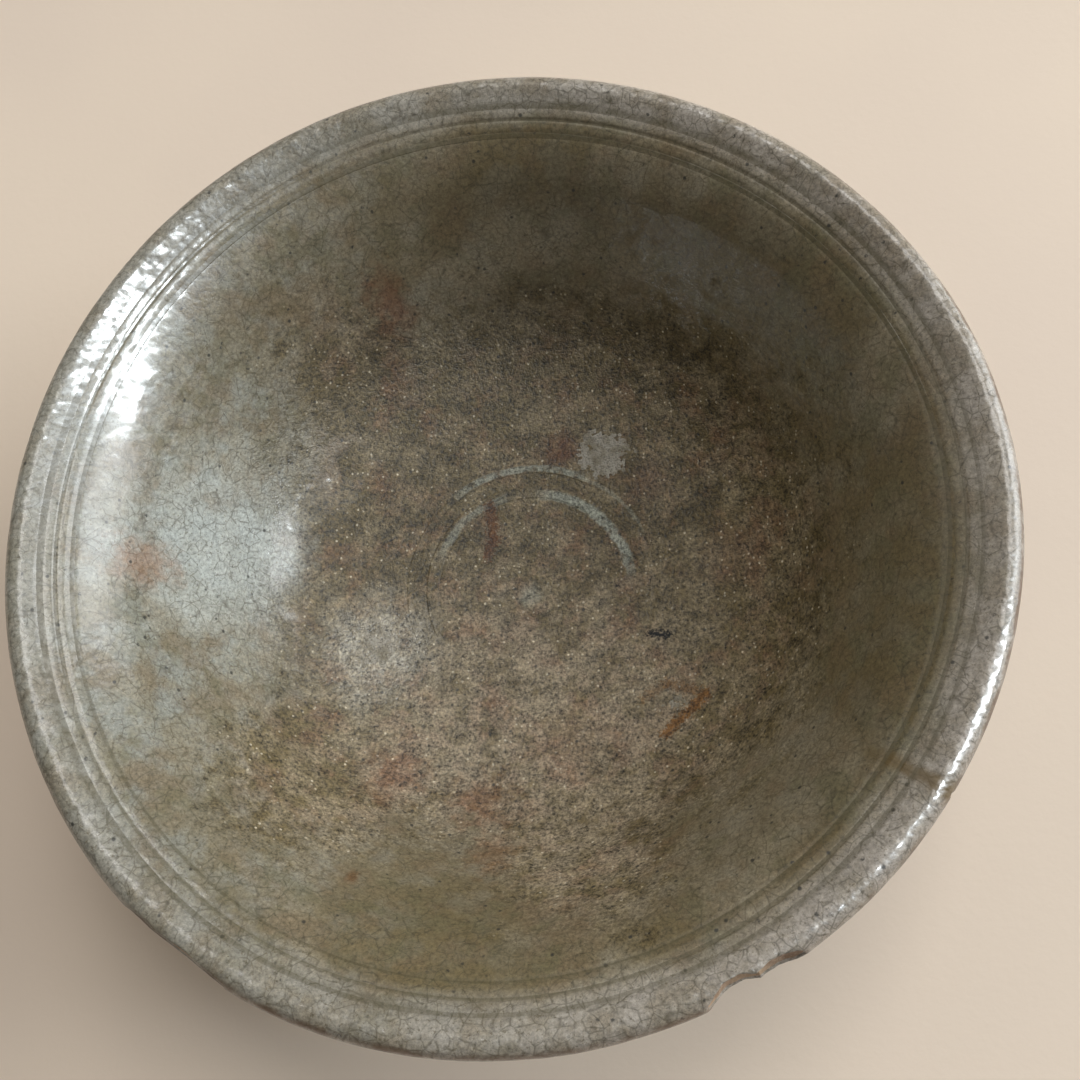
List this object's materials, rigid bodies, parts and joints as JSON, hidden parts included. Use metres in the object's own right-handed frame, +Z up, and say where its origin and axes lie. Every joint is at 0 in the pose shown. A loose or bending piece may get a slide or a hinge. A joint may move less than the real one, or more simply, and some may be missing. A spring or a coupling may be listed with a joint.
{
  "type": "tea bowl",
  "caption": "Shallow round stoneware tea bowl with an everted lip, incised lines inside the rim and the well, crackled grey-green glaze and a turned foot ring.",
  "frame": {"origin": "centre of the foot ring's resting plane, on the bowl's axis", "axes": "+Z up, out of the mouth, along the bowl's axis; +X and +Y are in the resting plane"},
  "size_m": [0.16, 0.16, 0.061],
  "materials": {
    "clay": "unglazed buff stoneware, matte, gritty",
    "foot_clay": "turned and unglazed buff stoneware, worn on the resting face",
    "inner_glaze": "grey-green crackled glaze, glossy on the wall and worn sandy on the floor",
    "outer_glaze": "grey-green crackled glaze, satin",
    "groove_glaze": "darker olive glaze pooled in incised lines",
    "ring_glaze": "pale bluish glaze pooled in incised rings",
    "grit": "rough refractory sand"
  },
  "bodies": {
    "root": {"stoneware_body": "clay", "foot_ring": "foot_clay", "inner_glaze": "inner_glaze", "outer_glaze": "outer_glaze", "rim_groove_glaze": "groove_glaze", "well_ring_glaze": "ring_glaze", "kiln_grit": "grit"}
  },
  "joints": []
}
